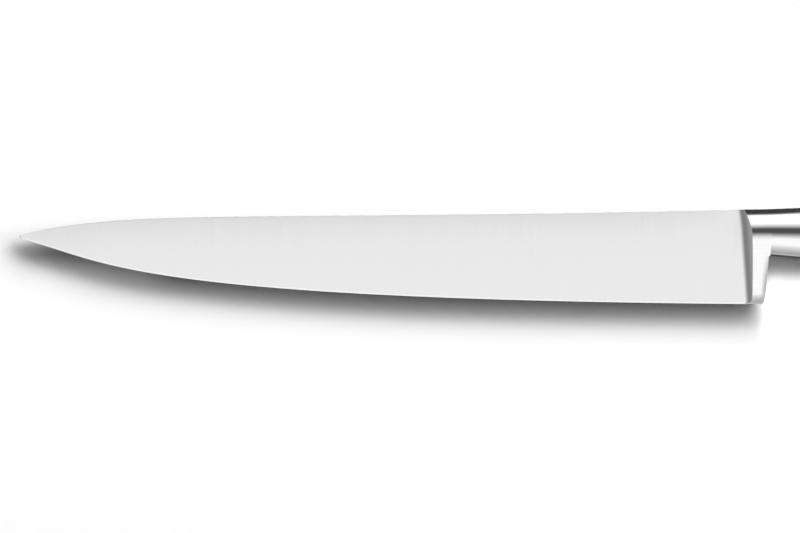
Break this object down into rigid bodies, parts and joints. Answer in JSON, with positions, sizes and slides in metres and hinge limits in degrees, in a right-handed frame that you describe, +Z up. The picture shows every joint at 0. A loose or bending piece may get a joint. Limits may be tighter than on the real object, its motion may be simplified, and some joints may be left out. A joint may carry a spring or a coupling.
{
  "type": "fillet knife",
  "caption": "Forged fillet knife with a slim curved blade, a full bolster with finger guard, and a full tang riveted between black handle scales.",
  "frame": {"origin": "on the surface the knife lies on, under the middle of its outline", "axes": "+X from the tip to the butt, +Y from the edge to the spine, +Z up out of the left side"},
  "size_m": [0.326, 0.0268, 0.016],
  "materials": {
    "blade_steel": "fine satin across the blade, polished bolster",
    "handle_black": "satin moulded black",
    "rivet_steel": "ground flush and polished"
  },
  "bodies": {
    "root": {"blade_forging": "blade_steel", "left_scale": "handle_black", "right_scale": "handle_black", "front_rivet_pin": "rivet_steel", "front_rivet_socket": "rivet_steel", "middle_rivet_pin": "rivet_steel", "middle_rivet_socket": "rivet_steel", "rear_rivet_pin": "rivet_steel", "rear_rivet_socket": "rivet_steel"}
  },
  "joints": []
}
